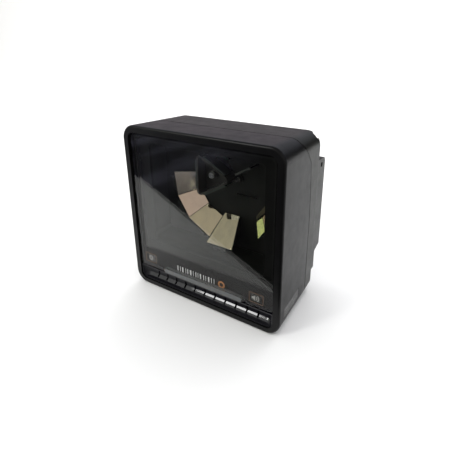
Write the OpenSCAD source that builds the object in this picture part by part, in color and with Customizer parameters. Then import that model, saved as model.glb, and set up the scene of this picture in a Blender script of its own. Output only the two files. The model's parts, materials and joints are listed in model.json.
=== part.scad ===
// Flatbed barcode scanner: a square counter-top window scanner that stands on its bottom edge.
// X runs across the window, Y runs from the window (-Y) to the back, Z is up, in millimetres.
// Every module below is drawn with the window bezel at y = 0 and moved to its place by in_row().

/* [Body] */
// Width of the housing
body_w = 150; // [148:1:156]
// Height of the housing
body_h = 150; // [150:1:156]
// Depth from the bezel to the rear block
body_d = 86; // [86:1:92]
// Radius of the four long corners
corner_r = 12; // [10:1:13]
// Radius of the front and back edges
edge_r = 2; // [1.5:0.1:2.5]
// Wall thickness of both shells
wall = 2.5; // [2:0.1:2.8]
// Depth of the joint between the shells, low on the sides
seam_side = 51.5; // [50:0.5:52]
// Depth of the joint between the shells, along the top
seam_top = 31.5; // [30:0.5:33]

/* [Window] */
// Width of the bezel frame at the sides and the top
bezel = 6; // [5.5:0.5:6.5]
// Thickness of the glass
glass_t = 2.8; // [2:0.1:3]
// Height of the glass panel's lower edge
panel_z = 19.7; // [19.5:0.1:20]
// Top edge of the printed strip that carries the touch keys
strip_z = 36.3; // [36:0.1:37.5]
// Printed border at the sides and the top of the glass
border = 2.5; // [2:0.5:3]

/* [Rear] */
// Depth of the main shell's back face
shell_back = 68; // [68:0.5:69]
// Depth of the raised panel that holds the sockets
panel_back = 74; // [73:0.5:75]
// Distance between the mounting inserts, across
insert_dx = 60; // [56:1:64]
// Distance between the mounting inserts, up
insert_dz = 50; // [46:1:52]

/* [Optics] */
// Place of the polygon's spin axis across the window
spin_x = -1; // [-2:0.5:0]
// Height of the polygon's spin axis
spin_z = 112; // [111:0.5:112]
// Place of the mirror ring's centre across the window
ring_x = 10; // [9:0.5:11]
// Height of the mirror ring's centre
ring_z = 104; // [103:0.5:104]
// Turn of the polygon in the position shown
spin_rest = 0; // [0:1:119]

/* [Hidden] */

$fn = 64;
fine = 0.2;                                  // gap round a part that drops into a recess

// Window stack, from the front
opening_w = body_w - 2*bezel;
opening_bottom = 5;
opening_top = body_h - bezel;
opening_r = 6;
glass_front = 1.5;
print_front = glass_front + glass_t;
print_t = 0.2;
tape_front = print_front + print_t;
tape_t = 0.6;
ledge_front = tape_front + tape_t;
ledge_t = 1.8;
ledge_w = 4;
cavity_front = ledge_front + ledge_t;
clear_w = opening_w - 2*border;
clear_top = opening_top - border;

// Light bar and sound trough
bar_w = 81.2;
bar_bottom = 18.7;
bar_top = 22.7;
trough_floor = 6.1;
trough_back = 7;
trough_slope = 2.3;
trough_end_r = 6.5;
trough_roof = 17.4;
trough_depth = 10.4;
slit_pitch = 10.7;
slit_w = 1.7;
slit_count = 11;
slit_top = 14.5;

// Rear steps
panel_inset = 0.8;
panel_bottom = 17;
panel_r = 4;
block_inset = 1;
block_bottom = 36.5;
block_top = 125;
block_round = 5;
block_slope = 3;
notch_x = 67.8;
notch_front = 63.5;
notch_bottom = 144;
insert_z = 82;
eye_y = 77;
eye_z = 119.5;
eye_r = 2.2;

// Joint between the shells: its depth at four heights
seam_gap = 0.8;
seam_low_z = 78;
seam_mid_z = 104;
seam_mid = 50;
seam_knee = body_h - 21;
seam_turn = 47;
seam_brow = body_h - 3;
tongue = 3;
tongue_t = 1.3;

board_t = 1.6;

// Deck of the optics chassis
deck_front = 37;
deck_t = 2.5;
deck_back = deck_front + deck_t;
tray_w = 133;
tray_bottom = 41;
tray_top = 141.4;
tray_front = 9;
tray_wall = 2;
frame_t = 1.5;
frame_open_w = 111.6;
frame_open_top = 134.4;

// Fasteners
boss_r = 3;
pilot_r = 1.35;
shank_r = 1.3;
head_r = 2.4;
head_t = 1.6;
side_boss_x = body_w/2 - wall - boss_r + 0.1;
side_boss_z = [60, 120];
shell_boss_r = 2.8;
shell_boss_x = 40;
shell_boss_z = [wall + shell_boss_r + 0.1, body_h - wall - shell_boss_r - 0.1];
shell_boss_end = 44;
housing_screw_l = 31;

// Boards and sockets
main_front = 54;
main_back = main_front + board_t;
main_w = 112;
main_bottom = 21;
main_top = 138;
post_x = 50;
post_z = [44, 132];
jack_z = 28;
data_jack_x = -18;
aux_jack_x = 12;
jack_face = panel_back - 0.4;

// Labels
label_t = 0.4;
label_y = [8, 37];
label_z = [12.5, 21.5];
rear_label_w = 48;
rear_label_z = [70, 94];

// Speaker
speaker_x = -36;
speaker_z = 27;
speaker_front = 15;
speaker_r = 12;

// Touch keys
touch_front = cavity_front + 0.3;
touch_w = 126;
touch_top = 31.6;
key_x = [-57, 52.5];
key_z = [26, 25.5];

// Laser, fold mirror and detector
laser_x = 33;
laser_z = 131;
lens_x = 21.5;
lens_z = 124;
lens_boss_r = 9.5;
fold_x = 27;
fold_y = 26;
fold_z = 127.5;
fold_turn = 29;
fold_tilt = 45;
detector_front = 49;
detector_post_x = [13.6, 30.5];
detector_post_z = 112;
detector_post_r = 1.6;

// Polygon scanner
bearing_front = 32;
base_back = deck_back + board_t + 1.5;
hub_front = 17;
hub_back = 29;
hub_corner_r = 3.5;
hub_reach = 15.5;
hub_wall = 1.6;
facet_t = 1.5;
facet_w = 24;
shaft_r = 1.5;
rotor_r = 12;
rotor_back = 36.5;
motor_screw_r = 18;
motor_screw_turn = -11;

// Pattern mirrors: direction, inner radius, outer radius, inner width, outer width, inner depth
mirror_t = 2;
mirrors = [
    [187, 34.5, 49, 14.8, 21.2, 35.5],
    [212, 34.5, 49, 14.8, 21.2, 35.5],
    [239, 34.5, 49, 17.4, 25.2, 35.5],
    [270, 30, 50.5, 14.6, 25.4, 35.5],
    [325, 34.5, 49, 14.8, 21.2, 35.5]];

// ---- helpers ----

module in_row() translate([0, -body_d/2, 0]) children();

// Extrudes an X-Z outline from y0 to y1
module slab(y0, y1) translate([0, y1, 0]) rotate([90, 0, 0]) linear_extrude(y1 - y0) children();

// Extrudes a Y-Z outline from x0 to x1
module bar(x0, x1) translate([x0, 0, 0]) rotate([90, 0, 90]) linear_extrude(x1 - x0) children();

// A round bar along Y
module rod(x, z, y0, y1, r) translate([x, y0, z]) rotate([-90, 0, 0]) cylinder(h = y1 - y0, r = r);

module box(x0, x1, y0, y1, z0, z1) translate([x0, y0, z0]) cube([x1 - x0, y1 - y0, z1 - z0]);

// A rectangle with four round corners, from z0 to z1
module soft_square(w, z0, z1, r) {
    translate([-w/2 + r, z0]) square([w - 2*r, z1 - z0]);
    translate([-w/2, z0 + r]) square([w, z1 - z0 - 2*r]);
    for (x = [-w/2 + r, w/2 - r], z = [z0 + r, z1 - r]) translate([x, z]) circle(r);
}

// A rectangle whose two upper corners are round
module arch_square(w, z0, z1, r) {
    translate([-w/2, z0]) square([w, z1 - z0 - r]);
    translate([-w/2 + r, z0]) square([w - 2*r, z1 - z0]);
    for (x = [-w/2 + r, w/2 - r]) translate([x, z1 - r]) circle(r);
}

// A rectangle whose two lower corners are round
module cradle_square(w, z0, z1, r) translate([0, z0 + z1]) mirror([0, 1]) arch_square(w, z0, z1, r);

// Half section of a rim with radius r and height h, rounded by f at both ends
module rim_section(r, h, f) {
    square([r - f, h]);
    translate([0, f]) square([r, h - 2*f]);
    for (y = [f, h - f]) translate([r - f, y]) intersection() {
        circle(f);
        translate([-min(f, r - f), -f]) square([f + min(f, r - f), 2*f]);
    }
}

// A block with corner radius r in plan whose rim has the half section given as its child
module rimmed_block(w, l, h, r) {
    translate([-w/2 + r, -l/2 + r, 0]) cube([w - 2*r, l - 2*r, h]);
    for (sx = [-1, 1], sy = [-1, 1])
        translate([sx*(w/2 - r), sy*(l/2 - r), 0]) rotate_extrude() children();
    for (turn = [0, 180]) rotate(turn) {
        translate([w/2 - r, l/2 - r, 0]) rotate([90, 0, 0]) linear_extrude(l - 2*r) children();
        translate([-w/2 + r, l/2 - r, 0]) rotate([90, 0, 90]) linear_extrude(w - 2*r) children();
    }
}

// The same block with its lower and upper edges rounded by f
module soft_block(w, l, h, r, f) rimmed_block(w, l, h, r) rim_section(r, h, f);

// The same block lying on its back, from y0 to y1, with its lowest side at z = 0
module soft_shell(w, h, y0, y1, r, f)
    translate([0, y0, h/2]) rotate([-90, 0, 0]) soft_block(w, h, y1 - y0, r, f);

// Everything in front of the joint between the shells, moved back by the given distance
module ahead_of_seam(back) bar(-body_w, body_w)
    polygon([[-10, -10], [seam_side + back, -10], [seam_side + back, seam_low_z],
        [seam_mid + back, seam_mid_z], [seam_turn + back, seam_knee], [seam_top + back, seam_brow],
        [seam_top + back, body_h + 10], [-10, body_h + 10]]);

module shell_cavity(y0, y1) slab(y0, y1)
    soft_square(body_w - 2*wall, wall, body_h - wall, corner_r - wall);

// Places a shape at a pattern mirror: X outwards from the ring's centre, Y to the back
module at_mirror(m) translate([ring_x, 0, ring_z]) rotate([0, -m[0], 0]) children();

module at_spin(turn) translate([spin_x, 0, spin_z]) rotate([0, -turn, 0]) children();

module at_motor_screws()
    for (a = [0, 120, 240]) at_spin(motor_screw_turn + a) children();

// ---- shells ----

module window_opening() {
    slab(-1, ledge_front) soft_square(opening_w, opening_bottom, opening_top, opening_r);
    slab(0, cavity_front + 1)
        arch_square(opening_w - 2*ledge_w, panel_z + 1.2, opening_top - ledge_w, opening_r - 2);
    slab(0, cavity_front + 1) cradle_square(opening_w, opening_bottom, panel_z - 0.5, opening_r);
    bar_notch(fine);
}

module front_cover() color([0.06, 0.06, 0.065]) in_row() {
    difference() {
        intersection() {
            soft_shell(body_w, body_h, 0, shell_back, corner_r, edge_r);
            ahead_of_seam(0);
        }
        shell_cavity(cavity_front, shell_back);
        window_opening();
        label_pocket();
    }
    for (x = [-side_boss_x, side_boss_x], z = side_boss_z)
        drilled_boss(x, z, ledge_front + 1, deck_front, 8);
    for (x = [-shell_boss_x, shell_boss_x]) {
        ribbed_boss(x, shell_boss_z[0], 16, wall - 1);
        ribbed_boss(x, shell_boss_z[1], cavity_front - 1, body_h - wall + 1);
    }
}

module drilled_boss(x, z, y0, y1, hole, r = boss_r) difference() {
    rod(x, z, y0, y1, r);
    rod(x, z, y1 - hole, y1 + 1, pilot_r);
}

// A shell boss with a rib that ties it to the wall at the given height
module ribbed_boss(x, z, y0, wall_z) {
    drilled_boss(x, z, y0, shell_boss_end, 10, shell_boss_r);
    rib_end = z + 2*sign(wall_z - z);
    box(x - 1, x + 1, y0, seam_top - tongue - 1, min(wall_z, rib_end), max(wall_z, rib_end));
}

module label_pocket()
    box(body_w/2 - label_t, body_w, label_y[0], label_y[1], label_z[0], label_z[1]);

module side_label() color([0.16, 0.16, 0.16]) in_row()
    box(body_w/2 - label_t, body_w/2 - 0.05, label_y[0] + fine, label_y[1] - fine,
        label_z[0] + fine, label_z[1] - fine);

// Y-Z outline of the rear block: round at the top, sloped at the bottom, reduced all round by in
module block_outline(in) {
    back = body_d - in;
    top = block_top - in;
    low = block_bottom + in;
    r = block_round - in;
    polygon([[seam_side + 2, low], [panel_back - in, low], [back, low + block_slope],
        [back, top - r], [back - r, top], [seam_side + 2, top]]);
    translate([back - r, top - r]) circle(r);
}

module rear_solid() {
    soft_shell(body_w, body_h, 0, shell_back, corner_r, edge_r);
    slab(seam_side + 2, panel_back)
        cradle_square(body_w - 2*panel_inset, panel_bottom, block_bottom + 1, panel_r);
    bar(-body_w/2 + block_inset, body_w/2 - block_inset) block_outline(0);
}

module rear_cavity() {
    difference() {
        shell_cavity(seam_top - 10, shell_back - wall);
        for (side = [0, 1]) mirror([side, 0, 0])
            box(notch_x - wall, body_w, notch_front - wall, body_d, notch_bottom - wall, body_h);
    }
    slab(seam_side + 2, panel_back - wall)
        cradle_square(body_w - 2*panel_inset - 2*wall, panel_bottom + wall, block_bottom + 1 - wall,
            panel_r - wall);
    bar(-body_w/2 + block_inset + wall, body_w/2 - block_inset - wall) block_outline(wall);
}

module rear_housing() color([0.09, 0.092, 0.09]) in_row() {
    difference() {
        union() {
            difference() {
                rear_solid();
                rear_cavity();
                ahead_of_seam(seam_gap);
            }
            seam_tongue();
            for (x = [-shell_boss_x, shell_boss_x], z = shell_boss_z)
                rod(x, z, shell_boss_end + 0.2, shell_back - wall + 1, shell_boss_r);
            for (x = [-post_x, post_x]) {
                rod(x, post_z[0], main_back, body_d - wall + 1, boss_r);
                rod(x, post_z[1], main_back, shell_back - wall + 1, boss_r);
            }
            at_inserts() rod(0, 0, body_d - 9.5, body_d - wall + 1, 5.5);
        }
        for (x = [-shell_boss_x, shell_boss_x], z = shell_boss_z) {
            rod(x, z, shell_boss_end, shell_back + 1, shank_r + 0.2);
            rod(x, z, shell_back - 2, shell_back + 1, head_r + 0.2);
        }
        for (x = [-post_x, post_x], z = post_z) rod(x, z, main_back - 1, main_back + 8, pilot_r);
        at_inserts() rod(0, 0, body_d - 8.4, body_d + 1, 3);
        jack_cutouts();
        rear_label_pocket();
        for (side = [0, 1]) mirror([side, 0, 0]) {
            box(notch_x, body_w, notch_front, body_d, notch_bottom, body_h + 1);
            bar(body_w/2 - block_inset - 1.2, body_w) translate([eye_y, eye_z]) circle(eye_r);
        }
    }
}

// Lip of the rear housing that locates it inside the front cover
module seam_tongue() difference() {
    intersection() {
        slab(seam_top - tongue, seam_side + tongue + 1)
            soft_square(body_w - 2*wall - 0.3, wall + 0.15, body_h - wall - 0.15, corner_r - wall);
        difference() {
            ahead_of_seam(3);
            ahead_of_seam(-tongue);
        }
    }
    slab(0, shell_back)
        soft_square(body_w - 2*wall - 2*tongue_t, wall + tongue_t, body_h - wall - tongue_t,
            corner_r - wall - 1);
    for (x = [-shell_boss_x, shell_boss_x], z = shell_boss_z) {
        rod(x, z, 0, shell_boss_end + 0.2, shell_boss_r + 0.3);
        box(x - 1.3, x + 1.3, 0, seam_top - tongue + 1, 0, body_h);
    }
}

module at_inserts()
    for (x = [-insert_dx/2, insert_dx/2], z = [-insert_dz/2, insert_dz/2])
        translate([x, 0, insert_z + z]) children();

module mount_inserts() color([0.75, 0.6, 0.3]) in_row() at_inserts() difference() {
    rod(0, 0, body_d - 8.2, body_d - 0.2, 3);
    rod(0, 0, body_d - 9, body_d + 1, 1.65);
}

module rear_label_pocket()
    box(-rear_label_w/2, rear_label_w/2, body_d - label_t, body_d + 1, rear_label_z[0], rear_label_z[1]);

module rear_label() color([0.2, 0.2, 0.2]) in_row()
    box(-rear_label_w/2 + fine, rear_label_w/2 - fine, body_d - label_t, body_d - 0.05,
        rear_label_z[0] + fine, rear_label_z[1] - fine);

// ---- window and front strip ----

module bar_notch(gap) slab(0, cavity_front + 1)
    soft_square(bar_w + 2*gap, bar_bottom - 6, bar_top + gap, 1.9);

module window_glass() color([0.25, 0.3, 0.28, 0.35]) in_row() difference() {
    slab(glass_front, print_front)
        arch_square(opening_w - 2*fine, panel_z, opening_top - fine, opening_r - fine);
    bar_notch(fine);
}

module window_print() color([0.1, 0.1, 0.1]) in_row() difference() {
    slab(print_front, tape_front) difference() {
        arch_square(opening_w - 2*fine, panel_z, opening_top - fine, opening_r - fine);
        translate([-clear_w/2, strip_z]) square([clear_w, clear_top - strip_z]);
    }
    bar_notch(fine);
}

module window_tape() color([0.05, 0.05, 0.05]) in_row() difference() {
    slab(tape_front, ledge_front) difference() {
        arch_square(opening_w - 2*fine, panel_z + 0.2, opening_top - fine, opening_r - fine);
        arch_square(opening_w - 2*ledge_w, panel_z - 2, opening_top - ledge_w, opening_r - 2);
    }
    bar_notch(fine);
}

module light_bar() color([0.45, 0.46, 0.46]) in_row()
    slab(glass_front - 0.4, cavity_front - 0.6) soft_square(bar_w, bar_bottom, bar_top, 1.9);

// Glossy trough under the window: flat floor, sloped back edge and narrow sound slits
module speaker_grille() color([0.03, 0.03, 0.05]) in_row() difference() {
    slab(glass_front, trough_depth)
        cradle_square(opening_w - 2*fine, opening_bottom + fine/2, trough_roof + 1, opening_r - fine);
    intersection() {
        translate([0, 0, trough_floor]) rimmed_block(opening_w - 2.4, 2*trough_back, body_h, trough_end_r)
            polygon([[0, 0], [trough_end_r - trough_slope, 0], [trough_end_r, trough_slope],
                [trough_end_r, body_h], [0, body_h]]);
        box(-opening_w, opening_w, -1, trough_back + 1, 0, trough_roof);
    }
    for (i = [0 : slit_count - 1])
        translate([(i - (slit_count - 1)/2)*slit_pitch, 0, 0])
            box(-slit_w/2, slit_w/2, trough_back - trough_slope, trough_depth + 1,
                trough_floor + 0.1, slit_top);
}

module speaker_frame() color([0.3, 0.3, 0.32]) in_row() difference() {
    rod(speaker_x, speaker_z, speaker_front, speaker_front + 5.4, speaker_r);
    rod(speaker_x, speaker_z, speaker_front - 1, speaker_front + 4.4, speaker_r - 1);
    rod(speaker_x, speaker_z, speaker_front, speaker_front + 6, 3.2);
}

module speaker_cone() color([0.12, 0.12, 0.12]) in_row()
    translate([speaker_x, speaker_front + 0.2, speaker_z]) rotate([-90, 0, 0]) rotate_extrude()
        polygon([[0, 2.2], [3, 3.1], [10.7, 0], [10.7, 0.6], [3.2, 3.9], [0, 2.8]]);

module speaker_magnet() color([0.55, 0.55, 0.58]) in_row() difference() {
    rod(speaker_x, speaker_z, speaker_front + 5.4, speaker_front + 10.4, 7.5);
    rod(speaker_x, speaker_z, speaker_front + 5, speaker_front + 8, 3);
}

module touch_board() color([0.05, 0.2, 0.1]) in_row()
    slab(touch_front, touch_front + board_t) soft_square(touch_w, bar_bottom + 0.2, touch_top, 1);

module touch_pads() color([0.5, 0.5, 0.5]) in_row() for (i = [0, 1])
    box(key_x[i] - 5, key_x[i] + 5, tape_front, touch_front, key_z[i] - 3.5, key_z[i] + 3.5);

module status_leds() color([0.9, 0.9, 0.85]) in_row() for (i = [-2 : 2])
    box(16*i - 1.5, 16*i + 1.5, cavity_front - 0.6, touch_front, bar_bottom + 0.9, bar_top - 0.9);

// ---- optics chassis and mirrors ----

module mirror_plate(m, t) at_mirror(m) {
    run = m[2] - m[1];
    translate([m[1], m[5], 0]) rotate([0, 0, -45]) rotate([-90, 0, 0])
        linear_extrude(t)
            polygon([[0, -m[3]/2], [run*sqrt(2), -m[4]/2], [run*sqrt(2), m[4]/2], [0, m[3]/2]]);
}

// Wedge on the deck that carries one mirror
module mirror_seat(m) at_mirror(m) translate([0, 0, -m[3]/2 + 1]) linear_extrude(m[3] - 2)
    polygon([[m[1] + mirror_t*sqrt(2), m[5]], [m[2] + mirror_t*sqrt(2), m[5] - m[2] + m[1]],
        [m[2] + 5, m[5] - m[2] + m[1]], [m[2] + 5, deck_front + 1], [m[1] + mirror_t, deck_front + 1]]);

module pattern_mirror(i) color([0.75, 0.68, 0.6]) in_row() mirror_plate(mirrors[i - 1], mirror_t);

module optics_chassis() color([0.05, 0.05, 0.045]) in_row() difference() {
    union() {
        difference() {
            slab(tray_front, deck_back) soft_square(tray_w, tray_bottom, tray_top, 4);
            slab(tray_front + frame_t, deck_front)
                soft_square(tray_w - 2*tray_wall, tray_bottom + tray_wall, tray_top - tray_wall, 3);
            slab(tray_front - 1, deck_front)
                soft_square(frame_open_w, tray_bottom + tray_wall, frame_open_top, 3);
        }
        for (z = side_boss_z)
            box(-body_w/2 + wall + 0.6, body_w/2 - wall - 0.6, deck_front, deck_back, z - 5, z + 5);
        for (m = mirrors) mirror_seat(m);
        at_motor_screws() rod(motor_screw_r, 0, deck_front - 2, deck_front + 1, 4);
        fold_seat();
        rod(laser_x, laser_z, deck_back - 1, deck_back + 9, 6);
        rod(lens_x, lens_z, deck_back - 1, deck_back + 4, lens_boss_r);
        for (x = detector_post_x) rod(x, detector_post_z, deck_back - 1, detector_front, detector_post_r);
        speaker_panel();
    }
    rod(spin_x, spin_z, deck_front - 1, deck_back + 1, rotor_r + 0.9);
    at_motor_screws() rod(motor_screw_r, 0, deck_front - 3, deck_back + 1, shank_r + 0.1);
    for (x = [-side_boss_x, side_boss_x], z = side_boss_z)
        rod(x, z, deck_front - 1, deck_back + 1, shank_r + 0.1);
    rod(laser_x, laser_z, deck_back, deck_back + 10, 4.5);
    rod(laser_x, laser_z, deck_front - 1, deck_back + 1, 2.5);
    rod(lens_x, lens_z, deck_front - 1, deck_back + 5, 7);
    rod(lens_x, lens_z, deck_back, deck_back + 5, 8);
    box(14, 34, deck_front - 1, deck_back + 1, 93.4, 94.6);
}

module speaker_panel() difference() {
    box(speaker_x - 15, speaker_x + 15, speaker_front + 5.4, speaker_front + 7.4, 16, tray_bottom + 1);
    rod(speaker_x, speaker_z, speaker_front, speaker_front + 8, 7.6);
}

// Stand that holds the fold mirror over the laser and the collector lens
module at_fold(tilt) translate([fold_x, fold_y, fold_z]) rotate([0, -fold_turn, 0])
    rotate([0, 0, tilt]) children();

module fold_seat() {
    at_fold(fold_tilt) box(-11, 11, -4.2, -mirror_t, -6, 6);
    at_fold(0) box(9.3, 12, 4, deck_front - fold_y + 1, -6, 6);
}

module fold_mirror() color([0.8, 0.82, 0.85]) in_row()
    at_fold(fold_tilt) box(-10, 10, -mirror_t, 0, -7.5, 7.5);

module laser_barrel() color([0.7, 0.55, 0.3]) in_row() difference() {
    rod(laser_x, laser_z, deck_back, deck_back + 13, 4.5);
    rod(laser_x, laser_z, deck_back - 1, deck_back + 2, 3);
    rod(laser_x, laser_z, deck_back + 1, deck_back + 11, 2);
}

module laser_lens() color([0.8, 0.85, 0.9]) in_row()
    rod(laser_x, laser_z, deck_back + 0.2, deck_back + 1.6, 3);

// Plano-convex lens: a disc with a shallow spherical face to the back
module collector_lens() color([0.8, 0.85, 0.9]) in_row()
    translate([lens_x, deck_back, lens_z]) rotate([-90, 0, 0]) {
        cylinder(h = 2, r = 8);
        intersection() {
            translate([0, 0, 4 - 17.25]) sphere(17.25, $fn = 96);
            cylinder(h = 5, r = 8);
        }
    }

module detector_board() color([0.05, 0.2, 0.1]) in_row() difference() {
    box(lens_x - 12, lens_x + 12, detector_front, detector_front + board_t, lens_z - 15, lens_z + 7);
    rod(laser_x, laser_z, 0, body_d, 5.5);
}

module photodiode() color([0.2, 0.1, 0.15]) in_row()
    box(lens_x - 3, lens_x + 3, detector_front - 1.6, detector_front, lens_z - 3, lens_z + 3);

// ---- polygon scanner motor ----

// Triangle with round corners
module round_triangle(reach, r) hull()
    for (a = [0, 120, 240]) rotate(a) translate([reach, 0]) circle(r, $fn = 32);

module polygon_hub() color([0.04, 0.04, 0.045]) in_row() at_spin(spin_rest) difference() {
    union() {
        difference() {
            slab(hub_front, hub_back) round_triangle(hub_reach, hub_corner_r);
            slab(hub_front - 1, hub_back - 2) round_triangle(hub_reach, hub_corner_r - hub_wall);
        }
        rod(0, 0, hub_front + 6, hub_back, 3.6);
    }
    rod(0, 0, hub_front, hub_back + 1, shaft_r);
}

// Glass strip glued on one flat of the polygon
module polygon_mirror(i) color([0.8, 0.82, 0.85]) in_row() at_spin(spin_rest + 60 + 120*(i - 1)) {
    flat = hub_reach*cos(60) + hub_corner_r;
    box(flat, flat + facet_t, hub_front + 0.5, hub_back - 0.5, -facet_w/2, facet_w/2);
}

module polygon_screw() color([0.6, 0.6, 0.62]) in_row() {
    rod(spin_x, spin_z, hub_front + 4.6, hub_front + 6, 2.6);
    rod(spin_x, spin_z, hub_front + 5, hub_front + 8, 1.2);
}

module rotor_cup() color([0.6, 0.6, 0.62]) in_row() difference() {
    rod(spin_x, spin_z, hub_back, rotor_back, rotor_r);
    difference() {
        rod(spin_x, spin_z, hub_back + 1.2, rotor_back + 1, rotor_r - 1);
        rod(spin_x, spin_z, hub_back, hub_back + 2, 2.6);
    }
    rod(spin_x, spin_z, hub_back - 1, rotor_back, shaft_r);
}

module rotor_magnet() color([0.15, 0.15, 0.16]) in_row() difference() {
    rod(spin_x, spin_z, hub_back + 1.6, rotor_back - 0.2, rotor_r - 1);
    rod(spin_x, spin_z, hub_back, rotor_back + 1, rotor_r - 2.4);
}

module motor_shaft() color([0.8, 0.8, 0.82]) in_row()
    rod(spin_x, spin_z, hub_front + 8, base_back - 0.2, shaft_r);

module motor_bearing() color([0.6, 0.42, 0.25]) in_row() difference() {
    rod(spin_x, spin_z, bearing_front, base_back - 0.2, 2.6);
    rod(spin_x, spin_z, bearing_front - 1, base_back + 1, shaft_r + 0.04);
}

// Turned housing: holds the sleeve bearing, carries the stator and is closed at the back
module bearing_housing() color([0.75, 0.62, 0.35]) in_row() difference() {
    union() {
        rod(spin_x, spin_z, bearing_front, base_back + 1, 3.6);
        rod(spin_x, spin_z, base_back, base_back + 1, 7);
    }
    rod(spin_x, spin_z, bearing_front - 1, base_back - 0.1, 2.6);
}

module motor_stator() color([0.45, 0.45, 0.48]) in_row() difference() {
    union() {
        rod(spin_x, spin_z, 33, 35.5, 5);
        for (a = [0 : 60 : 300]) at_spin(a) {
            box(4, 8.6, 33, 35.5, -1, 1);
            intersection() {
                box(7.8, 9.2, 33, 35.5, -2.6, 2.6);
                rod(0, 0, 33, 35.5, 9);
            }
        }
    }
    rod(spin_x, spin_z, 32, 36, 3.6);
}

module motor_coils() color([0.7, 0.35, 0.15]) in_row() for (a = [0 : 60 : 300]) at_spin(a) difference() {
    box(5.2, 7.4, 32.2, 36.3, -1.8, 1.8);
    box(5, 7.5, 33, 35.5, -1, 1);
}

module motor_plate(y0, y1, r) difference() {
    slab(y0, y1) translate([spin_x, 0]) soft_square(46, spin_z - 22, spin_z + 22, 3);
    rod(spin_x, spin_z, y0 - 1, y1 + 1, 3.6);
    at_motor_screws() rod(motor_screw_r, 0, y0 - 1, y1 + 1, r);
    rod(lens_x, lens_z, y0 - 1, y1 + 1, lens_boss_r + 0.5);
    rod(detector_post_x[0], detector_post_z, y0 - 1, y1 + 1, detector_post_r + 0.5);
}

module motor_board() color([0.05, 0.2, 0.1]) in_row()
    motor_plate(deck_back, deck_back + board_t, shank_r + 0.1);

module motor_base() color([0.6, 0.6, 0.6]) in_row()
    motor_plate(deck_back + board_t, base_back, shank_r + 0.05);

// Pan-head screw along Y: its head starts at y and its shank runs on for the given length
module screw(x, z, y, length, way) {
    rod(x, z, min(y, y + way*head_t), max(y, y + way*head_t), head_r);
    rod(x, z, min(y, y + way*(head_t + length)), max(y, y + way*(head_t + length)), shank_r);
}

module motor_screws() color([0.5, 0.5, 0.52]) in_row() at_motor_screws()
    screw(motor_screw_r, 0, deck_front - 2 - head_t, base_back - deck_front + 2, 1);

// ---- boards, sockets and fasteners ----

module main_board() color([0.05, 0.22, 0.12]) in_row() difference() {
    box(-main_w/2, main_w/2, main_front, main_back, main_bottom, main_top);
    for (x = [-post_x, post_x], z = post_z) rod(x, z, main_front - 1, main_back + 1, shank_r + 0.1);
}

module board_chips() color([0.07, 0.07, 0.08]) in_row() {
    box(-12, 12, main_back, main_back + 1.8, 74, 98);
    box(22, 36, main_back, main_back + 1.5, 86, 96);
    box(-38, -26, main_back, main_back + 1.5, 56, 64);
    for (x = [22, 34]) box(x, x + 8, main_back, main_back + 3.5, 52, 60);
}

module board_capacitors() color([0.2, 0.22, 0.3]) in_row() {
    for (x = [-34, -20]) rod(x, 112, main_back, main_back + 14, 5);
    rod(30, 116, main_back, main_back + 11, 4);
}

module ribbon_sockets() color([0.85, 0.82, 0.75]) in_row() {
    box(spin_x - 8, spin_x + 8, base_back, base_back + 3, spin_z - 21, spin_z - 16);
    box(spin_x - 8, spin_x + 8, main_front - 3, main_front, 66, 71);
}

// Flat ribbon between the motor and the main board, in one S bend
module ribbon_cable() color([0.85, 0.85, 0.8]) in_row() bar(spin_x - 6, spin_x + 6) {
    top = spin_z - 21;
    low = 71;
    translate([base_back + 1.2, top - 4]) square([0.6, 4]);
    translate([base_back + 1.2, top - 4.3]) square([main_front - 1.2 - base_back - 1.2, 0.6]);
    translate([main_front - 1.8, low]) square([0.6, top - 4 - low]);
}

// Modular socket that opens to the back: outer body, cavity and a latch channel
module modular_jack(x, w, h, cavity_w, cavity_h) difference() {
    box(x - w/2, x + w/2, main_back, jack_face, jack_z - h/2, jack_z + h/2);
    box(x - cavity_w/2, x + cavity_w/2, jack_face - 12, jack_face + 1,
        jack_z - cavity_h/2, jack_z + cavity_h/2);
    box(x - 3, x + 3, jack_face - 12, jack_face + 1, jack_z - h/2 + 1.2, jack_z);
}

module interface_jack() color([0.06, 0.06, 0.06]) in_row() modular_jack(data_jack_x, 16, 13, 11.8, 7);

module auxiliary_jack() color([0.06, 0.06, 0.06]) in_row() modular_jack(aux_jack_x, 13, 12, 9.8, 6.8);

module jack_cutouts() {
    box(data_jack_x - 8.2, data_jack_x + 8.2, main_back, panel_back + 1, jack_z - 6.7, jack_z + 6.7);
    box(aux_jack_x - 6.7, aux_jack_x + 6.7, main_back, panel_back + 1, jack_z - 6.2, jack_z + 6.2);
}

module housing_screws() color([0.25, 0.25, 0.26]) in_row()
    for (x = [-shell_boss_x, shell_boss_x], z = shell_boss_z)
        screw(x, z, shell_back - 0.4, housing_screw_l, -1);

module chassis_screws() color([0.5, 0.5, 0.52]) in_row()
    for (x = [-side_boss_x, side_boss_x], z = side_boss_z) screw(x, z, deck_back + head_t, 9, -1);

module board_screws() color([0.5, 0.5, 0.52]) in_row()
    for (x = [-post_x, post_x], z = post_z) screw(x, z, main_front - head_t, 8, 1);

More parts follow.
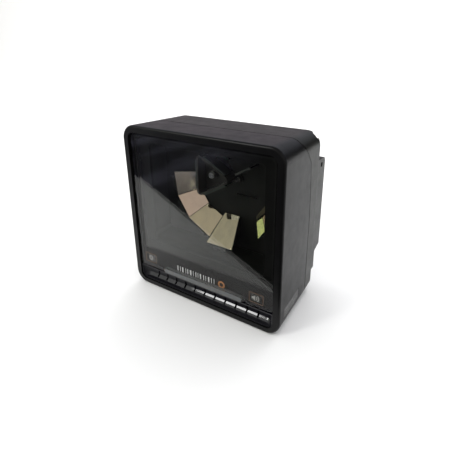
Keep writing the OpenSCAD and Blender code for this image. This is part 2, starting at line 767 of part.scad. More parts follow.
front_cover();
rear_housing();
window_glass();
window_print();
window_tape();
light_bar();
speaker_grille();
speaker_frame();
speaker_cone();
speaker_magnet();
touch_board();
touch_pads();
status_leds();
optics_chassis();
for (i = [1 : 5]) pattern_mirror(i);
polygon_hub();
for (i = [1 : 3]) polygon_mirror(i);
polygon_screw();
rotor_cup();
rotor_magnet();
motor_shaft();
motor_bearing();
bearing_housing();
motor_stator();
motor_coils();
motor_board();
motor_base();
motor_screws();
laser_barrel();
laser_lens();
fold_mirror();
collector_lens();
detector_board();
photodiode();
main_board();
board_chips();
board_capacitors();
ribbon_cable();
ribbon_sockets();
interface_jack();
auxiliary_jack();
housing_screws();
chassis_screws();
board_screws();
mount_inserts();
side_label();
rear_label();
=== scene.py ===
"""Looks of a flatbed barcode scanner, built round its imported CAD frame.

Metres, +Z up, window towards -Y. Places come from the frame's own boxes or are given in its axes.
"""
import json
import math

import bmesh
import bpy
from mathutils import Matrix, Vector


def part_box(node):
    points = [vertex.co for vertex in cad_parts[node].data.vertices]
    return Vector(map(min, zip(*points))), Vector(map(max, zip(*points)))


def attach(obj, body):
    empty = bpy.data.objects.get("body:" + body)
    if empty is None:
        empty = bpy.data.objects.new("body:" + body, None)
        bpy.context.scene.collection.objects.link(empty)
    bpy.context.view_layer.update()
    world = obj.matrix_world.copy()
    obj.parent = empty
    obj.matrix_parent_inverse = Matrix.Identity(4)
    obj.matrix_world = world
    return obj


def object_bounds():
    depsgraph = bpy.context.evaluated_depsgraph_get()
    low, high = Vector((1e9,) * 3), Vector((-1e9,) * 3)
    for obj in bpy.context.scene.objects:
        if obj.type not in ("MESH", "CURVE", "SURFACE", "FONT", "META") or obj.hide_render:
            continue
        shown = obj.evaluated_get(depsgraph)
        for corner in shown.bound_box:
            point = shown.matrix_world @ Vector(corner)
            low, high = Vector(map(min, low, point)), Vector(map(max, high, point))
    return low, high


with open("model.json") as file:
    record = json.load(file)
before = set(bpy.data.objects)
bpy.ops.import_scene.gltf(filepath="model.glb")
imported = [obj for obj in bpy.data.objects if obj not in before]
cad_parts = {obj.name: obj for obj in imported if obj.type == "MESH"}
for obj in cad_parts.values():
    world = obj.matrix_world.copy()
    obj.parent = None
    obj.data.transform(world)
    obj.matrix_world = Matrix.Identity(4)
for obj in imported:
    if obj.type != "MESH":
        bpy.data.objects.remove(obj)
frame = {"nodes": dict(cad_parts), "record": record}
CAD_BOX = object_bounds()

MM = 0.001
LOW, HIGH = CAD_BOX
FRONT = LOW.y
BACK = HIGH.y


# ---- camera -------------------------------------------------------------------------------

CAMERA_PLACE = Vector((0.1566, FRONT - 0.1850, 0.2021))
CAMERA_TURN = (27.08, 17.83, 1.53)      # azimuth, elevation and roll in degrees
LENS = 26.54
SHIFT = (-0.0956, -0.1267)


def make_camera():
    """A view from the right of the window and above it, close and with a wide lens."""
    azimuth, elevation, roll = (math.radians(a) for a in CAMERA_TURN)
    forward = Vector((-math.sin(azimuth) * math.cos(elevation),
                      math.cos(azimuth) * math.cos(elevation), -math.sin(elevation)))
    level_right = forward.cross(Vector((0, 0, 1))).normalized()
    level_up = level_right.cross(forward)
    right = level_right * math.cos(roll) + level_up * math.sin(roll)
    up = level_up * math.cos(roll) - level_right * math.sin(roll)
    data = bpy.data.cameras.new("camera")
    data.lens = LENS
    data.shift_x, data.shift_y = SHIFT
    data.clip_start = 5 * MM
    camera = bpy.data.objects.new("camera", data)
    axes = Matrix((right, up, -forward)).transposed()
    camera.matrix_world = Matrix.Translation(CAMERA_PLACE) @ axes.to_4x4()
    bpy.context.scene.collection.objects.link(camera)
    bpy.context.scene.camera = camera


# ---- node kit -----------------------------------------------------------------------------

class Nodes:
    """Builds one node tree. Every value given is a socket to link or a constant."""

    def __init__(self, tree):
        self.tree = tree
        tree.nodes.clear()

    def feed(self, socket, value):
        if isinstance(value, bpy.types.NodeSocket):
            self.tree.links.new(value, socket)
        else:
            socket.default_value = value

    def add(self, kind, **values):
        """Adds a node. A name that is no input of the node is one of its properties."""
        node = self.tree.nodes.new(kind)
        for name, value in values.items():
            socket = node.inputs.get(name.replace("_", " "))
            if socket is None:
                setattr(node, name, value)
            else:
                self.feed(socket, value)
        return node

    def fit(self, value, low, high, out_low=0.0, out_high=1.0):
        return self.add("ShaderNodeMapRange", Value=value, From_Min=low, From_Max=high,
                        To_Min=out_low, To_Max=out_high).outputs["Result"]

    def math(self, operation, a, b=0.0):
        node = self.add("ShaderNodeMath", operation=operation)
        self.feed(node.inputs[0], a)
        self.feed(node.inputs[1], b)
        return node.outputs[0]

    def dot(self, a, b):
        node = self.add("ShaderNodeVectorMath", operation="DOT_PRODUCT")
        self.feed(node.inputs[0], a)
        self.feed(node.inputs[1], b)
        return node.outputs["Value"]

    def blend(self, fac, a, b):
        """A colour between a and b."""
        node = self.add("ShaderNodeMix", data_type="RGBA")
        factor, first, second = node.inputs[0], node.inputs[6], node.inputs[7]
        self.feed(factor, fac)
        self.feed(first, a)
        self.feed(second, b)
        return node.outputs[2]


class Graph(Nodes):
    """Builds one material."""

    def __init__(self, name):
        self.material = bpy.data.materials.new(name)
        self.material.use_nodes = True
        super().__init__(self.material.node_tree)
        self.place = self.add("ShaderNodeTexCoord").outputs["Object"]

    def drawn(self, scale, turn=(0.0, 0.0, 0.0)):
        """The place, turned and drawn out along the axes whose scale is small."""
        mapping = self.add("ShaderNodeMapping", Vector=self.place, Rotation=turn, Scale=scale)
        return mapping.outputs["Vector"]

    def noise(self, size, detail=3.0, rough=0.55, place=None):
        """Noise whose features are about size metres across."""
        return self.add("ShaderNodeTexNoise", Vector=place or self.place, Scale=1 / size,
                        Detail=detail, Roughness=rough).outputs["Fac"]

    def cells(self, size):
        """Distance from the middle of cells that are about size metres across."""
        return self.add("ShaderNodeTexVoronoi", Vector=self.place, Scale=1 / size).outputs["Distance"]

    def axis(self, name):
        return self.add("ShaderNodeSeparateXYZ", Vector=self.place).outputs[name]

    def bump(self, height, strength, depth):
        node = self.add("ShaderNodeBump", Height=height, Strength=strength, Distance=depth)
        return node.outputs["Normal"]

    def done(self, shader):
        self.add("ShaderNodeOutputMaterial", Surface=shader.outputs[0])
        return self.material

    def principled(self, **values):
        return self.done(self.add("ShaderNodeBsdfPrincipled", **values))


def rgb(r, g, b):
    return (r, g, b, 1.0)


def scaled(colour, amount):
    return rgb(*(c * amount for c in colour))


# ---- materials ----------------------------------------------------------------------------

def moulded(name, colour, rough, grain=0.35 * MM, wear=0.0, **extra):
    """Moulded plastic: fine eroded texture, faint flow marks and, with wear, lighter edges."""
    g = Graph(name)
    fine = g.noise(grain, 2.0)
    lighter = scaled(colour, 1.3)
    base = g.blend(g.fit(fine, 0.3, 0.7), scaled(colour, 0.75), lighter)
    base = g.blend(g.fit(g.noise(26 * MM, 4.0), 0.3, 0.7), base, lighter)
    roughness = g.fit(g.noise(9 * MM, 5.0), 0.3, 0.7, rough - 0.04, rough + 0.05)
    if wear:
        edge = g.fit(g.add("ShaderNodeNewGeometry").outputs["Pointiness"], 0.52, 0.6, 0, wear)
        edge = g.math("MULTIPLY", edge, g.fit(g.noise(3 * MM, 4.0), 0.4, 0.65))
        base = g.blend(edge, base, rgb(*(c * 3 + 0.008 for c in colour)))
    return g.principled(Base_Color=base, Roughness=roughness, Normal=g.bump(fine, 0.5, 0.03 * MM), **extra)


def glossy_black(name, colour, rough):
    """Polished moulding with hairline scuffs, a faint orange peel and dust in the low places."""
    g = Graph(name)
    dust = g.fit(g.noise(1.2 * MM, 6.0), 0.62, 0.75, 0, 0.25)
    scuff = g.fit(g.noise(0.8 * MM, 8.0), 0.45, 0.75, 0, 0.18)
    return g.principled(Base_Color=g.blend(dust, rgb(*colour), rgb(0.09, 0.09, 0.1)),
                        Roughness=g.math("ADD", scuff, rough), Coat_Weight=0.6, Coat_Roughness=0.05,
                        Normal=g.bump(g.noise(4 * MM, 2.0), 0.15, 0.05 * MM))


def trough_black(name, colour):
    """Black of the sound trough: its slope is polished along the upper edge, matt below and on the left."""
    g = Graph(name)
    dust = g.fit(g.noise(1.2 * MM, 6.0), 0.62, 0.75, 0, 0.25)
    low = g.fit(g.axis("Z"), 7.2 * MM, 7.4 * MM, 1, 0)
    left = g.fit(g.axis("X"), -9 * MM, -16 * MM)
    dull = g.math("MAXIMUM", low, left)
    scuff = g.fit(g.noise(0.8 * MM, 8.0), 0.45, 0.75, 0, 0.1)
    return g.principled(Base_Color=g.blend(dust, rgb(*colour), rgb(0.03, 0.03, 0.034)),
                        Roughness=g.math("ADD", scuff, g.fit(dull, 0, 1, 0.08, 0.5)),
                        Specular_IOR_Level=0.5, Normal=g.bump(g.noise(4 * MM, 2.0), 0.15, 0.05 * MM))


def metal(name, colour, rough, grain=(1.0, 1.0, 1.0)):
    """Metal with fine tool marks, drawn out along the axes whose grain is small."""
    g = Graph(name)
    marks = g.noise(0.3 * MM, 4.0, 0.5, g.drawn(grain))
    stain = g.fit(g.noise(5 * MM, 4.0), 0.35, 0.7, 0, 0.35)
    return g.principled(Base_Color=g.blend(stain, rgb(*colour), scaled(colour, 0.72)), Metallic=1.0,
                        Roughness=g.fit(marks, 0.3, 0.7, rough * 0.8, rough * 1.3),
                        Normal=g.bump(marks, 0.2, 0.02 * MM))


def widest_normal(node):
    """Direction that the largest flat faces of a node look in."""
    areas = {}
    for face in node.data.polygons:
        normal = face.normal if face.normal.y > 0 else -face.normal
        key = tuple(round(c, 2) for c in normal)
        areas[key] = areas.get(key, 0.0) + face.area
    return Vector(max(areas, key=areas.get)).normalized()


def coated_glass(node, colour, rough):
    """Mirror glass with ground dark edges; its coating has a faint haze, specks and soft wipe marks."""
    g = Graph(node.name)
    facing = g.dot(g.add("ShaderNodeTexCoord").outputs["Normal"], widest_normal(node))
    coated = g.math("GREATER_THAN", g.math("ABSOLUTE", facing), 0.9)
    streak = g.noise(5 * MM, 5.0, 0.5, g.drawn((1.0, 1.0, 0.35)))
    speck = g.fit(g.noise(1.1 * MM, 3.0), 0.66, 0.74, 0, 0.5)
    base = g.blend(g.fit(streak, 0.35, 0.7, 0, 0.16), rgb(*colour), rgb(0.3, 0.28, 0.26))
    base = g.blend(speck, base, scaled(colour, 0.6))
    base = g.blend(coated, rgb(0.012, 0.02, 0.017), base)
    roughness = g.fit(streak, 0.3, 0.75, rough * 0.85, rough * 1.2)
    return g.principled(Base_Color=base, Metallic=coated, Roughness=g.fit(coated, 0, 1, 0.5, roughness))


GLASS_INDEX = 1.39
GLASS_ROUGH = 0.012


def pane(name, tint, bonded=None):
    """Clear glass seen straight through, with a mirror image from each face it passes.

    bonded gives the clear area (half width, bottom, top, middle plane): outside it the back face is
    printed on and mirrors nothing.
    """
    g = Graph(name)
    inside = g.add("ShaderNodeNewGeometry").outputs["Backfacing"]
    outward = g.add("ShaderNodeFresnel", IOR=GLASS_INDEX).outputs[0]
    inward = g.add("ShaderNodeFresnel", IOR=1 / GLASS_INDEX).outputs[0]
    shine = g.math("ADD", g.math("MULTIPLY", inward, inside),
                   g.math("MULTIPLY", outward, g.math("SUBTRACT", 1.0, inside)))
    if bonded:
        half, bottom, top, middle = bonded
        printed = g.math("GREATER_THAN", g.math("ABSOLUTE", g.axis("X")), half)
        printed = g.math("MAXIMUM", printed, g.math("LESS_THAN", g.axis("Z"), bottom))
        printed = g.math("MAXIMUM", printed, g.math("GREATER_THAN", g.axis("Z"), top))
        printed = g.math("MULTIPLY", printed, g.math("GREATER_THAN", g.axis("Y"), middle))
        shine = g.math("MULTIPLY", shine, g.math("SUBTRACT", 1.0, printed))
    smear = g.fit(g.noise(18 * MM, 6.0), 0.4, 0.75, GLASS_ROUGH, GLASS_ROUGH * 3)
    clear = g.add("ShaderNodeBsdfTransparent", Color=rgb(*tint))
    gloss = g.add("ShaderNodeBsdfGlossy", Roughness=smear, Color=rgb(1, 1, 1))
    mix = g.add("ShaderNodeMixShader", Fac=shine)
    g.feed(mix.inputs[1], clear.outputs[0])
    g.feed(mix.inputs[2], gloss.outputs[0])
    return g.done(mix)


def board_green(name):
    """Solder mask with traces, pads and a woven glass core showing faintly."""
    g = Graph(name)
    brick = g.add("ShaderNodeTexBrick", Vector=g.place, Scale=1 / (2.2 * MM), Mortar_Size=0.06,
                  Color1=rgb(0.012, 0.075, 0.035), Color2=rgb(0.015, 0.1, 0.045),
                  Mortar=rgb(0.03, 0.16, 0.08))
    pad = g.fit(g.cells(1.9 * MM), 0.1, 0.16, 1, 0)
    return g.principled(Base_Color=g.blend(pad, brick.outputs["Color"], rgb(0.55, 0.5, 0.35)),
                        Roughness=g.fit(pad, 0, 1, 0.35, 0.25),
                        Normal=g.bump(brick.outputs["Fac"], 0.2, 0.02 * MM))


def chassis_black(name):
    """Moulded black of the chassis, with a light-trapping matt coat on everything near the window."""
    g = Graph(name)
    fine = g.noise(0.4 * MM, 2.0)
    base = g.blend(fine, rgb(0.0026, 0.0027, 0.0021), rgb(0.0046, 0.0048, 0.0038))
    depth = g.fit(g.axis("Y"), FRONT + 12 * MM, FRONT + 22 * MM)
    return g.principled(Base_Color=g.blend(depth, rgb(0.0006, 0.0006, 0.0006), base),
                        Roughness=g.fit(depth, 0, 1, 0.9, 0.45), Specular_IOR_Level=0.2,
                        Normal=g.bump(fine, 0.5, 0.03 * MM))


def soft_foam(name, colour):
    """Foam, felt or paper with fine cells."""
    g = Graph(name)
    cells = g.cells(0.4 * MM)
    return g.principled(Base_Color=g.blend(cells, scaled(colour, 0.5), rgb(*colour)), Roughness=0.9,
                        Specular_IOR_Level=0.2, Normal=g.bump(cells, 0.6, 0.1 * MM))


def ink(name, colour):
    """Screen-printed ink without a gloss of its own: slightly uneven cover and a fine mesh."""
    g = Graph(name)
    mesh = g.noise(0.25 * MM, 2.0)
    return g.principled(Base_Color=g.blend(g.fit(mesh, 0.35, 0.65), scaled(colour, 0.9), rgb(*colour)),
                        Roughness=0.35, Specular_IOR_Level=0.0, Normal=g.bump(mesh, 0.2, 0.01 * MM))


def frosted(name, colour):
    """Milky light guide with soft inner variation."""
    g = Graph(name)
    cloud = g.noise(7 * MM, 3.0)
    return g.principled(Base_Color=g.blend(g.fit(cloud, 0.3, 0.7), scaled(colour, 0.85), rgb(*colour)),
                        Roughness=0.22, Subsurface_Weight=0.1, Coat_Weight=0.3,
                        Normal=g.bump(cloud, 0.1, 0.05 * MM))


PRINT_LOW, PRINT_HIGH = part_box("window_print")
STRIP_TOP = 36.3 * MM

# Half width, bottom and top of the window's clear area, and a plane between its faces
CLEAR_AREA = (66.5 * MM, STRIP_TOP, 141.5 * MM, PRINT_LOW.y - 1 * MM)

# Tool marks that run round a part turned on the Y axis
TURNED = (1, 8, 1)

MATERIALS = {
    "cover_plastic": moulded("cover_plastic", (0.002, 0.002, 0.0022), 0.33, wear=0.2,
                             Specular_IOR_Level=0.175),
    "housing_plastic": moulded("housing_plastic", (0.0036, 0.0039, 0.0028), 0.35, wear=0.2,
                               Specular_IOR_Level=0.23, Specular_Tint=rgb(0.99, 1.0, 0.95)),
    "window_glass": pane("window_glass", (0.925, 0.935, 0.915), bonded=CLEAR_AREA),
    "print_ink": ink("print_ink", (0.002, 0.0018, 0.0018)),
    "foam_tape": soft_foam("foam_tape", (0.006, 0.006, 0.006)),
    "light_diffuser": frosted("light_diffuser", (0.085, 0.088, 0.09)),
    "trough_plastic": trough_black("trough_plastic", (0.004, 0.004, 0.007)),
    "speaker_steel": metal("speaker_steel", (0.5, 0.5, 0.52), 0.35),
    "speaker_paper": soft_foam("speaker_paper", (0.05, 0.05, 0.05)),
    "circuit_board": board_green("circuit_board"),
    "contact_foam": soft_foam("contact_foam", (0.3, 0.3, 0.3)),
    "led_lens": frosted("led_lens", (0.8, 0.78, 0.7)),
    "chassis_plastic": chassis_black("chassis_plastic"),
    "bearing_bronze": metal("bearing_bronze", (0.5, 0.3, 0.15), 0.4),
    "turned_brass": metal("turned_brass", (0.75, 0.53, 0.22), 0.25, TURNED),
    "lamination_steel": metal("lamination_steel", (0.3, 0.3, 0.31), 0.45, (0.2, 6, 0.2)),
    "coil_copper": metal("coil_copper", (0.75, 0.28, 0.1), 0.3, (1, 6, 1)),
    "base_steel": metal("base_steel", (0.55, 0.55, 0.55), 0.35),
    "screw_steel": metal("screw_steel", (0.6, 0.6, 0.6), 0.22),
    "lens_glass": pane("lens_glass", (0.9, 0.95, 0.97)),
    "chip_plastic": moulded("chip_plastic", (0.015, 0.015, 0.016), 0.5, 0.2 * MM),
    "capacitor_sleeve": glossy_black("capacitor_sleeve", (0.02, 0.03, 0.09), 0.2),
    "ribbon_plastic": moulded("ribbon_plastic", (0.6, 0.58, 0.5), 0.4, 0.5 * MM),
    "socket_ivory": moulded("socket_ivory", (0.6, 0.55, 0.42), 0.4),
    "jack_plastic": moulded("jack_plastic", (0.01, 0.01, 0.01), 0.35),
    "black_screw": metal("black_screw", (0.03, 0.03, 0.032), 0.4),
    "label_plastic": moulded("label_plastic", (0.016, 0.016, 0.016), 0.33, 0.2 * MM),
    "hub_plastic": moulded("hub_plastic", (0.012, 0.011, 0.009), 0.33),
    "rotor_steel": metal("rotor_steel", (0.5, 0.5, 0.52), 0.3, TURNED),
    "magnet_ferrite": moulded("magnet_ferrite", (0.03, 0.03, 0.032), 0.5),
    "shaft_steel": metal("shaft_steel", (0.7, 0.7, 0.72), 0.15, TURNED),
}

# Coating colour of every mirror; the pattern mirrors vary in cast. The fold mirror's near-black colour is
# painted shade that takes away its mirror image.
MIRROR_TINTS_AND_SHADE = {
    "pattern_mirror_1": (0.80, 0.72, 0.67),
    "pattern_mirror_2": (0.80, 0.61, 0.52),
    "pattern_mirror_3": (0.74, 0.62, 0.46),
    "pattern_mirror_4": (0.69, 0.61, 0.45),
    "pattern_mirror_5": (0.57, 0.58, 0.40),
    # Painted shade: the fold mirror is made nearly black so that its face mirrors none of the pale room in
    # front
    "fold_mirror": (0.035, 0.04, 0.04),
}
MIRROR_TINTS_AND_SHADE.update({f"polygon_mirror_{i}": (0.80, 0.82, 0.85) for i in (1, 2, 3)})

# Roughness of the coatings; only the first pattern mirror is hazy
CLEAN_MIRROR = 0.04
HAZY_MIRROR = 0.22


def dress_nodes():
    """Gives every carried-over CAD node the material of its slot, and every mirror its own."""
    slots = {part["node"]: part["material_slot"] for part in frame["record"]["subparts"]}
    for name, node in frame["nodes"].items():
        if name in MIRROR_TINTS_AND_SHADE:
            rough = HAZY_MIRROR if name == "pattern_mirror_1" else CLEAN_MIRROR
            material = coated_glass(node, MIRROR_TINTS_AND_SHADE[name], rough)
        else:
            material = MATERIALS[slots[name]]
        node.data.materials.clear()
        node.data.materials.append(material)


# ---- mesh kit -----------------------------------------------------------------------------

def thing_from(name, mesh, material):
    """A finished bmesh as an object in the scene."""
    data = bpy.data.meshes.new(name)
    mesh.to_mesh(data)
    mesh.free()
    data.materials.append(material)
    thing = bpy.data.objects.new(name, data)
    bpy.context.scene.collection.objects.link(thing)
    return thing


def housing_piece(name, mesh, material):
    """A finished bmesh as a piece that rides on the housing."""
    bmesh.ops.recalc_face_normals(mesh, faces=mesh.faces)
    piece = thing_from(name, mesh, material)
    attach(piece, "housing")


def add_band(mesh, near, far):
    """Joins two closed rows of vertices with faces."""
    for i in range(len(near)):
        j = (i + 1) % len(near)
        mesh.faces.new((near[i], near[j], far[j], far[i]))


def add_prism(mesh, outline, y0, y1):
    """Adds an X-Z outline drawn out from y0 to y1."""
    near = [mesh.verts.new((x, y0, z)) for x, z in outline]
    far = [mesh.verts.new((x, y1, z)) for x, z in outline]
    mesh.faces.new(near[::-1])
    mesh.faces.new(far)
    add_band(mesh, near, far)


def add_ring(mesh, outer, inner, y0, y1):
    """Adds a frame between two X-Z outlines with the same number of points."""
    rows = [[mesh.verts.new((x, y, z)) for x, z in line]
            for line, y in ((outer, y0), (inner, y0), (inner, y1), (outer, y1))]
    for i, row in enumerate(rows):
        add_band(mesh, row, rows[(i + 1) % len(rows)])


def oblong(x0, x1, z0, z1):
    return [(x0, z0), (x1, z0), (x1, z1), (x0, z1)]


def rounded(x0, x1, z0, z1, r, steps=5):
    """Points of a rectangle with round corners, anticlockwise."""
    points = []
    centres = ((x1 - r, z1 - r), (x0 + r, z1 - r), (x0 + r, z0 + r), (x1 - r, z0 + r))
    for quarter, (x, z) in enumerate(centres):
        for i in range(steps + 1):
            a = math.radians(90 * (quarter + i / steps))
            points.append((x + r * math.cos(a), z + r * math.sin(a)))
    return points


def circle(x, z, r, count=24, start=0.0):
    return [(x + r * math.cos(start + 2 * math.pi * i / count),
             z + r * math.sin(start + 2 * math.pi * i / count)) for i in range(count)]


def arc_band(x, z, r0, r1, start, end, steps=10):
    """Outline of a band between two radii, from start to end in degrees."""
    angles = [math.radians(start + (end - start) * i / steps) for i in range(steps + 1)]
    return ([(x + r1 * math.cos(a), z + r1 * math.sin(a)) for a in angles]
            + [(x + r0 * math.cos(a), z + r0 * math.sin(a)) for a in reversed(angles)])


# ---- printed front strip ------------------------------------------------------------------

INK_FRONT = PRINT_LOW.y - 0.06 * MM
INK = (INK_FRONT, PRINT_LOW.y + 0.02 * MM)
KEY_LEFT = (-59.3 * MM, 26.0 * MM)
KEY_RIGHT = (52.4 * MM, 25.0 * MM)


def make_key_frames():
    """Thin frames round both touch keys."""
    across, up, line = 6.5 * MM, 4.6 * MM, 0.6 * MM
    mesh = bmesh.new()
    for x, z in (KEY_LEFT, KEY_RIGHT):
        outer = rounded(x - across, x + across, z - up, z + up, 0.8 * MM)
        inner = rounded(x - across + line, x + across - line, z - up + line, z + up - line, 0.4 * MM)
        add_ring(mesh, outer, inner, *INK)
    housing_piece("key_frames", mesh, ink("frame_ink", (0.13, 0.075, 0.045)))


def make_key_icons():
    """A settings ring on the left key and a loudspeaker with two waves on the right one."""
    mesh = bmesh.new()
    x, z = KEY_LEFT
    add_ring(mesh, circle(x, z, 2.7 * MM, 6, math.pi / 6), circle(x, z, 1.9 * MM, 6, math.pi / 6), *INK)
    add_ring(mesh, circle(x, z, 1.3 * MM), circle(x, z, 0.75 * MM), *INK)
    x, z = KEY_RIGHT
    horn = ((-3.9, -0.9), (-2.8, -0.9), (-0.9, -2.5), (-0.9, 2.5), (-2.8, 0.9), (-3.9, 0.9))
    add_prism(mesh, [(x + across * MM, z + up * MM) for across, up in horn], *INK)
    half_line = 0.35 * MM
    for r in (1.9 * MM, 3.5 * MM):
        add_prism(mesh, arc_band(x - 1.2 * MM, z, r - half_line, r + half_line, -48, 48), *INK)
    housing_piece("key_icons", mesh, ink("icon_ink", (0.38, 0.37, 0.36)))


def make_strip_bars():
    """A generic row of upright bars in the middle of the strip."""
    widths_and_gaps = ((1.0, 2.0), (0.5, 1.8), (1.4, 2.4), (0.5, 1.6), (0.8, 2.0), (1.6, 1.8), (0.5, 2.2),
                       (0.8, 1.6), (0.5, 1.8), (1.3, 2.3), (0.8, 1.6), (0.5, 2.1), (1.4, 1.8), (0.7, 2.1),
                       (0.5, 0))
    x = -27.6 * MM
    mesh = bmesh.new()
    for width, gap in widths_and_gaps:
        add_prism(mesh, oblong(x, x + width * MM, 23.2 * MM, 28.2 * MM), *INK)
        x += (width + gap) * MM
    housing_piece("strip_bars", mesh, ink("bar_ink", (0.62, 0.62, 0.63)))


def make_strip_dot():
    """A plain orange ring beside the bars."""
    x, z = 19.4 * MM, 25.4 * MM
    mesh = bmesh.new()
    add_ring(mesh, circle(x, z, 3.4 * MM, 32), circle(x, z, 1.8 * MM, 32), *INK)
    housing_piece("strip_dot", mesh, ink("dot_ink", (0.36, 0.15, 0.05)))


def make_halftone():
    """Rows of shrinking dots where the print fades out above the strip."""
    pitch = 1.9 * MM
    half = 62.5 * MM
    mesh = bmesh.new()
    for row in range(2):
        radius = (0.62 - 0.2 * row) * MM
        z = STRIP_TOP + (0.7 + 1.1 * row) * MM
        for i in range(int(2 * half / pitch) + 1):
            x = -half + (i + row / 2) * pitch
            if abs(x) < half:
                add_prism(mesh, circle(x, z, radius, 8), INK_FRONT, PRINT_HIGH.y - 0.02 * MM)
    housing_piece("halftone_dots", mesh, MATERIALS["print_ink"])


# ---- labels and small fittings ------------------------------------------------------------

def make_side_marks():
    """Raised generic marks in three rows on the small plate low on the side."""
    low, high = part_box("side_label")
    x0, x1 = high.x - 0.05 * MM, HIGH.x
    span = high.y - low.y
    rows = ((0.08, 0.62, 2.0 * MM), (0.08, 0.9, 1.0 * MM), (0.08, 0.75, 1.0 * MM))
    mesh = bmesh.new()
    for row, (start, end, tall) in enumerate(rows):
        z = high.z - (2.2 + 2.9 * row) * MM
        count = 9 + 2 * row
        step = span * (end - start) / count
        for i in range(count):
            wide = step * (0.62 if i % 3 else 0.35)
            middle = Matrix.Translation(((x0 + x1) / 2, low.y + span * start + step * i + wide / 2, z))
            size = Matrix.Diagonal((x1 - x0, wide, tall, 1))
            bmesh.ops.create_cube(mesh, size=1.0, matrix=middle @ size)
    housing_piece("side_marks", mesh, moulded("mark_plastic", (0.16, 0.16, 0.155), 0.5))


def make_rear_marks():
    """Generic bar pattern and two plain blocks on the rear label."""
    low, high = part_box("rear_label")
    raised = (high.y - 0.03 * MM, BACK)
    left = low.x + 4 * MM
    x = left
    mesh = bmesh.new()
    for i in range(26):
        wide = (0.35 + 0.35 * ((i * 7) % 3)) * MM
        add_prism(mesh, oblong(x, x + wide, low.z + 3 * MM, low.z + 11 * MM), *raised)
        x += wide + 0.65 * MM
    for bottom, length in ((14 * MM, 26 * MM), (17 * MM, 18 * MM)):
        z = low.z + bottom
        add_prism(mesh, rounded(left, left + length, z, z + 1.4 * MM, 0.3 * MM), *raised)
    housing_piece("rear_marks", mesh, ink("label_ink", (0.45, 0.45, 0.45)))


def make_dust_skirt():
    """A matt felt strip that closes the gap between the window's print and the optics chassis."""
    half = 65 * MM
    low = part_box("touch_board")[1].z + 0.3 * MM
    mesh = bmesh.new()
    add_prism(mesh, oblong(-half, half, low, 43 * MM), FRONT + 7.5 * MM, FRONT + 8.2 * MM)
    housing_piece("dust_skirt", mesh, soft_foam("skirt_felt", (0.003, 0.003, 0.003)))


def make_jack_contacts():
    """Gold spring contacts on the upper wall of each modular socket."""
    pitch = 1.02 * MM
    half_wide = 0.22 * MM
    thick = 0.25 * MM
    section = ((-half_wide, 0), (half_wide, 0), (half_wide, thick), (-half_wide, thick))
    mesh = bmesh.new()
    for node, count in (("interface_jack", 10), ("auxiliary_jack", 6)):
        low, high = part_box(node)
        z_top = (low.z + high.z) / 2 + 3.2 * MM
        route = ((high.y - 2.5 * MM, z_top), (high.y - 10 * MM, z_top - 2.6 * MM),
                 (high.y - 11.2 * MM, z_top - 2.2 * MM))
        for i in range(count):
            x = (low.x + high.x) / 2 + (i - (count - 1) / 2) * pitch
            rows = [[mesh.verts.new((x + dx, y, z + dz)) for dx, dz in section] for y, z in route]
            for near, far in zip(rows, rows[1:]):
                add_band(mesh, near, far)
            mesh.faces.new(rows[0][::-1])
            mesh.faces.new(rows[-1])
    housing_piece("jack_contacts", mesh, metal("contact_gold", (0.85, 0.6, 0.25), 0.2))


# ---- stage --------------------------------------------------------------------------------

STAGE_TURN = math.radians(27)


def hide_from(thing, *rays):
    for ray in rays:
        setattr(thing, "visible_" + ray, False)


def plain(name, colour, rough=0.6):
    """Matt stage surface with a barely uneven tone."""
    g = Graph(name)
    base = g.blend(g.noise(0.4, 2.0), scaled(colour, 0.985), rgb(*colour))
    return g.principled(Base_Color=base, Roughness=rough, Specular_IOR_Level=0.2)


def dark_cloth(name):
    """Dark cloth with soft bluish creases that fade out to the right; the creases are painted light,
    lighter streaks in place of lit fold ridges.
    """
    g = Graph(name)
    fold_light = g.noise(1 / 14, 3.0, 0.45, g.drawn((1.0, 0.3, 1.0), (0, 0, 0.5)))
    # Painted light: where the fold pattern is high the cloth turns a lighter bluish grey, as lit fold
    # ridges would; this fades out to the right
    strength = g.math("MULTIPLY", g.fit(fold_light, 0.42, 0.66, 0.2, 1), g.fit(g.axis("X"), -0.14, -0.32))
    base = g.blend(strength, rgb(0.014, 0.014, 0.015), rgb(0.2, 0.2, 0.26))
    return g.principled(Base_Color=base, Roughness=0.9, Specular_IOR_Level=0.1)


def white_glow(name):
    """Even pale light that is never picked as a lamp."""
    g = Graph(name)
    tone = g.blend(g.noise(0.4, 2.0), rgb(0.9, 0.9, 0.895), rgb(0.92, 0.92, 0.915))
    g.material.cycles.emission_sampling = "NONE"
    return g.done(g.add("ShaderNodeEmission", Color=tone, Strength=1.0))


def add_sheet(name, profile, material):
    """A wide sheet whose Y-Z profile is drawn out across and turned with the stage."""
    mesh = bmesh.new()
    left, right = ([mesh.verts.new((x, y, z)) for y, z in profile] for x in (-6.0, 6.0))
    for i in range(len(profile) - 1):
        mesh.faces.new((left[i], right[i], right[i + 1], left[i + 1]))
    bmesh.ops.rotate(mesh, verts=mesh.verts, matrix=Matrix.Rotation(STAGE_TURN, 3, "Z"))
    sheet = thing_from(name, mesh, material)
    for face in sheet.data.polygons:
        face.use_smooth = True
    return sheet


def add_card(name, points, material):
    """A sheet just over the floor that only mirror images see."""
    mesh = bmesh.new()
    mesh.faces.new([mesh.verts.new((p.x, p.y, 4 * MM)) for p in points])
    card = thing_from(name, mesh, material)
    hide_from(card, "camera", "diffuse", "shadow", "transmission")


def make_floor_and_backdrop():
    """A pale floor with a backdrop that curves up behind the part."""
    bend_y, bend_r = 2.2, 1.0
    add_sheet("floor", [(-4.0, 0.0), (bend_y, 0.0)], plain("floor", (0.86, 0.86, 0.855)))
    bend = [(bend_y + bend_r * math.sin(a), bend_r * (1 - math.cos(a)))
            for a in (math.radians(9 * i) for i in range(11))]
    backdrop = add_sheet("backdrop", bend + [(bend_y + bend_r, 2.4)], plain("backdrop", (0.9, 0.9, 0.895)))
    hide_from(backdrop, "glossy")


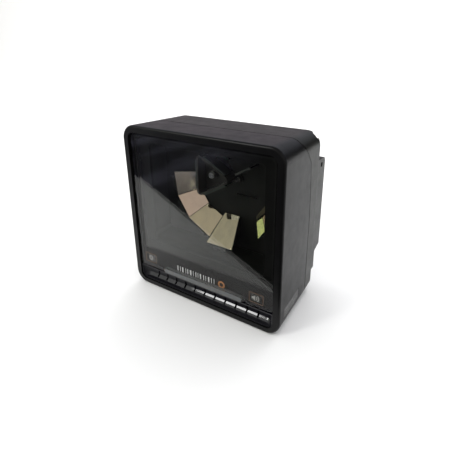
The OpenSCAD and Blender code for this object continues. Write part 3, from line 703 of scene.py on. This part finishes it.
def make_cloths():
    """A dark and a grey cloth in front; the dark one's near edge runs slantwise past the window."""
    near, far = Vector((0.046, FRONT - 0.041)), Vector((-0.302, FRONT - 0.197))
    along = (far - near).normalized()
    away = Vector((-along.y, along.x))
    start = near - along * 0.14
    end = far + along * 3.0
    add_card("dark_cloth", [start, end, end + away * 4.0, start + away * 4.0], dark_cloth("dark_cloth"))
    right = start - along * 1.2
    add_card("grey_cloth", [right + away * 0.15, start + away * 0.15, start + away * 2.0,
                            right + away * 2.0], plain("grey_cloth", (0.19, 0.17, 0.165), 0.9))


def make_surround():
    """A pale wall all round behind the other views; it neither lights the part nor shows in it."""
    mesh = bmesh.new()
    low, high = ([mesh.verts.new((x, y, z)) for x, y in circle(0, 0, 6.5, 48)] for z in (-1.0, 7.0))
    add_band(mesh, low, high)
    wall = thing_from("surround", mesh, white_glow("surround"))
    hide_from(wall, "diffuse", "glossy", "shadow")


def area_light(name, place, target, size, power, mirrored=False):
    """An area light; unless mirrored it lights things without showing in them."""
    data = bpy.data.lights.new(name, "AREA")
    data.shape = "RECTANGLE"
    data.size, data.size_y = size
    data.energy = power
    light = bpy.data.objects.new(name, data)
    light.location = place
    light.rotation_mode = "QUATERNION"
    light.rotation_quaternion = (Vector(target) - Vector(place)).to_track_quat("-Z", "Y")
    light.visible_glossy = mirrored
    bpy.context.scene.collection.objects.link(light)


def make_lights():
    middle = (0, 0, (LOW.z + HIGH.z) / 2)
    area_light("key", (0.2, 0.4, 2.6), middle, (4.0, 4.0), 75)
    area_light("wash", (-0.5, 1.0, 2.3), (-1.35, 2.65, 0.5), (4.0, 1.0), 60)
    area_light("strip_box", (-0.492, -0.809, 0.767), (0.025, FRONT, 0.007), (0.25, 0.32), 4.2,
               mirrored=True)


def make_world():
    """Room light by direction: pale in front, dim low behind and brighter above it, with one lamp."""
    world = bpy.data.worlds.new("studio")
    world.use_nodes = True
    g = Nodes(world.node_tree)
    way = g.add("ShaderNodeTexCoord").outputs["Generated"]
    x, y, z = g.add("ShaderNodeSeparateXYZ", Vector=way).outputs
    low_back = g.blend(g.fit(x, 0.1, -0.3), rgb(0.03, 0.028, 0.028), rgb(0.4, 0.34, 0.36))
    behind = g.blend(g.fit(z, 0.2, 0.42), low_back, rgb(0.66, 0.68, 0.76))
    front = g.blend(g.fit(z, 0.3, 0.75), rgb(0.68, 0.66, 0.64), rgb(0.6, 0.59, 0.57))
    sky = g.blend(g.fit(y, -0.3, 0.2), front, behind)
    sky = g.blend(g.fit(z, 0.74, 0.86), sky, rgb(0.24, 0.24, 0.25))
    lamp = g.dot(way, Vector((-0.66, -0.57, 0.48)).normalized())
    sky = g.blend(g.fit(lamp, 0.984, 0.992), sky, rgb(1.3, 1.6, 1.15))
    background = g.add("ShaderNodeBackground", Color=sky)
    g.add("ShaderNodeOutputWorld", Surface=background.outputs[0])
    bpy.context.scene.world = world


make_camera()
dress_nodes()
make_key_frames()
make_key_icons()
make_strip_bars()
make_strip_dot()
make_halftone()
make_side_marks()
make_rear_marks()
make_dust_skirt()
make_jack_contacts()
make_floor_and_backdrop()
make_cloths()
make_surround()
make_lights()
make_world()
bpy.context.scene.view_settings.view_transform = "Standard"
